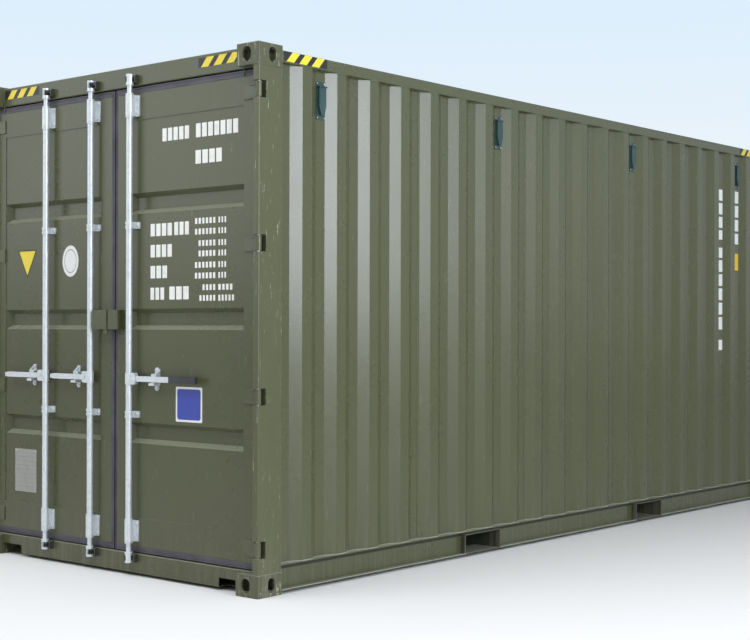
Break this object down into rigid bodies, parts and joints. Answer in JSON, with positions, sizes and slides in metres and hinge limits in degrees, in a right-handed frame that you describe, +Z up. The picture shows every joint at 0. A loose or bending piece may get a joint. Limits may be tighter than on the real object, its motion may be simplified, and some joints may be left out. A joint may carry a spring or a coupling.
{
  "type": "high-cube freight container",
  "caption": "Corrugated steel freight container with corner castings, two swinging doors, locking bars with lifting handles, vents and fork pockets.",
  "frame": {"origin": "ground level, at the centre of the base", "axes": "+Z up, +Y along the length away from the doors, +X to the right of someone facing the doors"},
  "size_m": [2.438, 6.058, 2.896],
  "materials": {
    "olive_paint": "semi-gloss olive green container paint",
    "underframe_paint": "dull olive underframe paint",
    "galvanised": "hot-dip galvanised, pale and slightly mottled",
    "pin_steel": "plain bright pin",
    "gasket_rubber": "matt purple-grey EPDM seal",
    "grip_rubber": "soft black moulded grip",
    "vent_cover": "teal moulded plastic",
    "plywood": "varnished marine plywood"
  },
  "bodies": {
    "container": {"bottom_rail_left": "olive_paint", "bottom_rail_right": "olive_paint", "cam_keepers_bottom": "olive_paint", "cam_keepers_top": "olive_paint", "casting_bottom_door_left": "olive_paint", "casting_bottom_door_right": "olive_paint", "casting_bottom_front_left": "olive_paint", "casting_bottom_front_right": "olive_paint", "casting_top_door_left": "olive_paint", "casting_top_door_right": "olive_paint", "casting_top_front_left": "olive_paint", "casting_top_front_right": "olive_paint", "cross_members": "underframe_paint", "door_header": "olive_paint", "door_post_left": "olive_paint", "door_post_right": "olive_paint", "door_sill": "olive_paint", "floor": "plywood", "fork_pocket_door_end": "underframe_paint", "fork_pocket_front_end": "underframe_paint", "front_bottom_rail": "olive_paint", "front_post_left": "olive_paint", "front_post_right": "olive_paint", "front_top_rail": "olive_paint", "front_wall": "olive_paint", "hinge_pins_left": "pin_steel", "hinge_pins_right": "pin_steel", "roof": "olive_paint", "side_wall_left": "olive_paint", "side_wall_right": "olive_paint", "top_rail_left": "olive_paint", "top_rail_right": "olive_paint", "vents_left": "vent_cover", "vents_right": "vent_cover"},
    "door_right": {"door_leaf_right": "olive_paint", "door_gasket_right": "gasket_rubber", "hinge_blades_right": "olive_paint", "bar_brackets_right": "galvanised", "handle_retainers_right": "galvanised", "lock_box_right": "olive_paint"},
    "door_left": {"door_leaf_left": "olive_paint", "door_gasket_left": "gasket_rubber", "hinge_blades_left": "olive_paint", "bar_brackets_left": "galvanised", "handle_retainers_left": "galvanised", "lock_box_left": "olive_paint"},
    "bar_1": {"locking_bar_1": "galvanised"},
    "bar_2": {"locking_bar_2": "galvanised"},
    "bar_3": {"locking_bar_3": "galvanised"},
    "lever_1": {"handle_1": "galvanised"},
    "lever_2": {"handle_2": "galvanised"},
    "lever_3": {"handle_3": "galvanised", "handle_grip_3": "grip_rubber"}
  },
  "joints": [
    {"name": "door_right_swing", "type": "hinge", "parent": "container", "child": "door_right", "pos_m": [1.195, -3.005, 1.448], "axis": [0, 0, 1], "range_deg": [0, 260]},
    {"name": "door_left_swing", "type": "hinge", "parent": "container", "child": "door_left", "pos_m": [-1.195, -3.005, 1.448], "axis": [0, 0, -1], "range_deg": [0, 260]},
    {"name": "bar_1_turn", "type": "hinge", "parent": "door_left", "child": "bar_1", "pos_m": [-0.596, -3.006, 1.448], "axis": [0, 0, -1], "range_deg": [-100, 0]},
    {"name": "bar_2_turn", "type": "hinge", "parent": "door_left", "child": "bar_2", "pos_m": [-0.175, -3.006, 1.448], "axis": [0, 0, -1], "range_deg": [-100, 0]},
    {"name": "bar_3_turn", "type": "hinge", "parent": "door_right", "child": "bar_3", "pos_m": [0.17, -3.006, 1.448], "axis": [0, 0, 1], "range_deg": [-100, 0]},
    {"name": "handle_1_lift", "type": "hinge", "parent": "bar_1", "child": "lever_1", "pos_m": [-0.64, -3.006, 1.118], "axis": [0, 1, 0], "range_deg": [0, 14]},
    {"name": "handle_2_lift", "type": "hinge", "parent": "bar_2", "child": "lever_2", "pos_m": [-0.219, -3.006, 1.118], "axis": [0, 1, 0], "range_deg": [0, 14]},
    {"name": "handle_3_lift", "type": "hinge", "parent": "bar_3", "child": "lever_3", "pos_m": [0.214, -3.006, 1.118], "axis": [0, -1, 0], "range_deg": [0, 14]}
  ]
}
